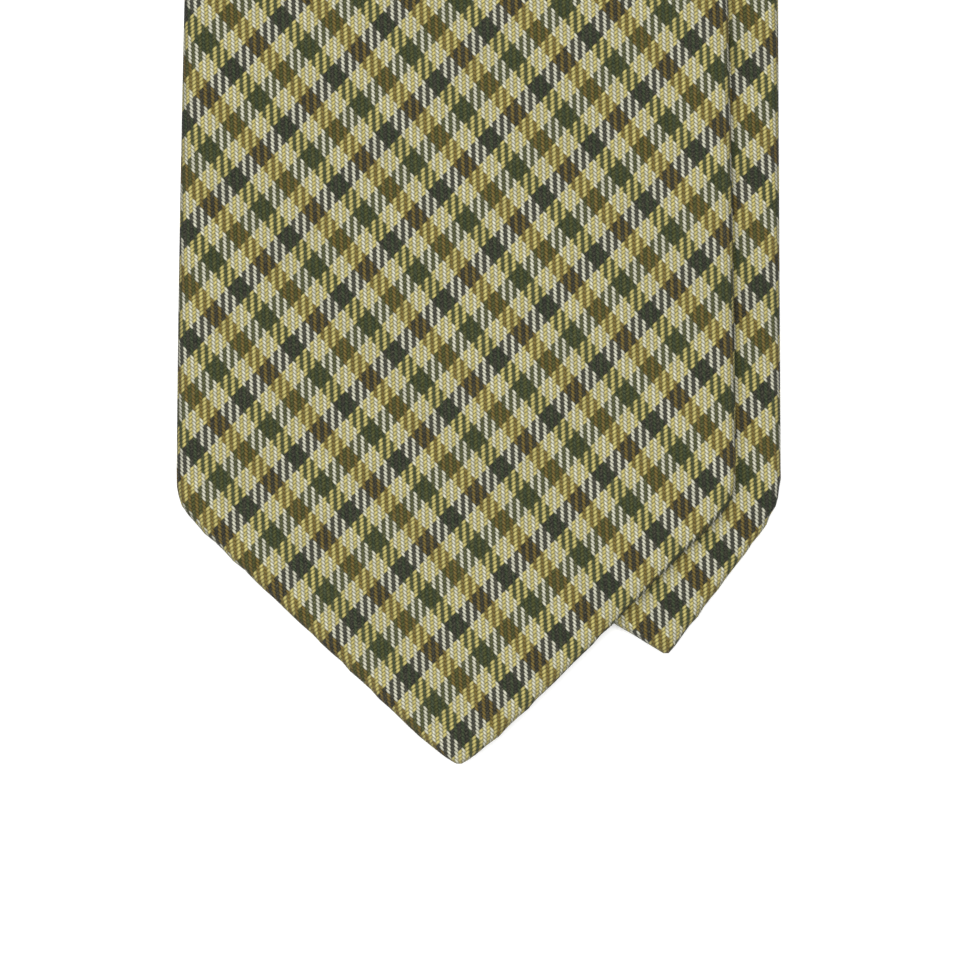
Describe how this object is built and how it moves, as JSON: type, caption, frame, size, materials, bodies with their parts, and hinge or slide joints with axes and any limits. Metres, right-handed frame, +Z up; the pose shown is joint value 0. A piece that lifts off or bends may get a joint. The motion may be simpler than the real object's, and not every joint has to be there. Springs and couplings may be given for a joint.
{
  "type": "necktie",
  "caption": "Woven check necktie lying folded: pointed front blade over the narrow tail, lined, with keeper loop and mitred neck folds.",
  "frame": {"origin": "centre of the folded tie's footprint, on the surface it lies on", "axes": "+Y along the tie from the blade tips towards the neck band, +Z up out of the cloth faces, +X towards the side where the tail blade shows"},
  "size_m": [0.1024, 0.7512, 0.0125],
  "materials": {
    "tie_cloth": "matte 2/2 twill check in cream, yellow, green, ochre and charcoal",
    "tipping_cloth": "matte dark green lining",
    "interlining_felt": "unbleached brushed wool",
    "sewing_thread": "dark green thread"
  },
  "bodies": {
    "neck": {"neck_shell_front": "tie_cloth", "neck_shell_tail": "tie_cloth", "neck_interlining_front": "interlining_felt", "neck_interlining_tail": "interlining_felt", "neck_seam_thread": "sewing_thread"},
    "front_half": {"front_shell": "tie_cloth", "front_interlining": "interlining_felt", "front_tipping": "tipping_cloth", "front_bar_tack": "sewing_thread", "front_slip_stitch": "sewing_thread", "keeper_loop": "tie_cloth", "keeper_tack_left": "sewing_thread", "keeper_tack_right": "sewing_thread"},
    "tail_half": {"tail_shell": "tie_cloth", "tail_interlining": "interlining_felt", "tail_tipping": "tipping_cloth", "tail_bar_tack": "sewing_thread", "tail_slip_stitch": "sewing_thread"}
  },
  "joints": [
    {"name": "front_fold", "type": "hinge", "parent": "neck", "child": "front_half", "pos_m": [-0.00877, 0.35639, 0.0086], "axis": [-0.7071, -0.7071, 0], "range_deg": [0, 180], "deforming": ["neck_shell_front", "neck_interlining_front"]},
    {"name": "tail_fold", "type": "hinge", "parent": "neck", "child": "tail_half", "pos_m": [0.03723, 0.35639, 0.0039], "axis": [0.7071, -0.7071, 0], "range_deg": [0, 180], "deforming": ["neck_shell_tail", "neck_interlining_tail"]}
  ]
}
